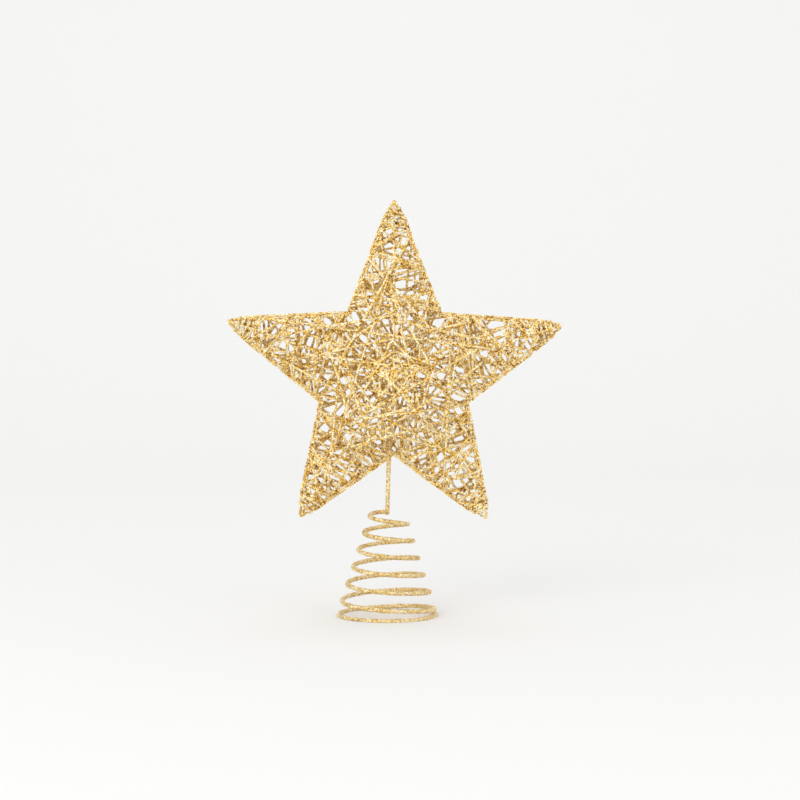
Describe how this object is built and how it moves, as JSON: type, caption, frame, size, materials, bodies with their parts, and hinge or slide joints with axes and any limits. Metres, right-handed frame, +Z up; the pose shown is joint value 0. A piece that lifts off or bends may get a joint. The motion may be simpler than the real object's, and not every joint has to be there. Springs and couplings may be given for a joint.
{
  "type": "christmas tree topper star",
  "caption": "Five pointed star of gold glitter wire, wound over a wire frame, on a conical spring that grips the top shoot of a tree.",
  "frame": {"origin": "on the spring's axis, at the floor that its foot loop stands on", "axes": "+X to the right of the star, +Y to its back, +Z up along the stem"},
  "size_m": [0.1993, 0.0603, 0.2498],
  "materials": {
    "gold_frame_wire": "gold glitter",
    "gold_winding_wire": "gold glitter",
    "gold_spring_wire": "coarse gold glitter"
  },
  "bodies": {
    "spring_foot": {"spring_foot_coils": "gold_spring_wire"},
    "spring_middle": {"spring_middle_coils": "gold_spring_wire"},
    "spring_top": {"spring_top_coils": "gold_spring_wire"},
    "star": {"star_outline_wire": "gold_frame_wire", "front_ridge_wire_top": "gold_frame_wire", "front_ridge_wire_right": "gold_frame_wire", "front_ridge_wire_lower_right": "gold_frame_wire", "front_ridge_wire_lower_left": "gold_frame_wire", "front_ridge_wire_left": "gold_frame_wire", "back_ridge_wire_top": "gold_frame_wire", "back_ridge_wire_right": "gold_frame_wire", "back_ridge_wire_lower_right": "gold_frame_wire", "back_ridge_wire_lower_left": "gold_frame_wire", "back_ridge_wire_left": "gold_frame_wire", "front_hub_weld": "gold_frame_wire", "back_hub_weld": "gold_frame_wire", "top_arm_winding": "gold_winding_wire", "right_arm_winding": "gold_winding_wire", "lower_right_arm_winding": "gold_winding_wire", "lower_left_arm_winding": "gold_winding_wire", "left_arm_winding": "gold_winding_wire", "front_centre_winding": "gold_winding_wire", "back_centre_winding": "gold_winding_wire", "stem": "gold_spring_wire", "stem_weld": "gold_spring_wire"}
  },
  "joints": [
    {"name": "spring_press", "type": "slide", "parent": "spring_foot", "child": "spring_middle", "axis": [0, 0, 1], "range_m": [-0.012, 0.01], "stiffness_N_per_m": 450, "springref_m": 0.00331, "deforming": ["spring_foot_coils"]},
    {"name": "spring_lean", "type": "hinge", "parent": "spring_middle", "child": "spring_top", "pos_m": [0, 0, 0.0345], "axis": [1, 0, 0], "range_deg": [-15, 15], "stiffness_Nm_per_rad": 1, "springref_deg": -0.16, "deforming": ["spring_middle_coils"]},
    {"name": "spring_sway", "type": "hinge", "parent": "spring_top", "child": "star", "pos_m": [0, 0, 0.053], "axis": [0, 1, 0], "range_deg": [-15, 15], "stiffness_Nm_per_rad": 1, "springref_deg": -0.3, "deforming": ["spring_top_coils"]}
  ]
}
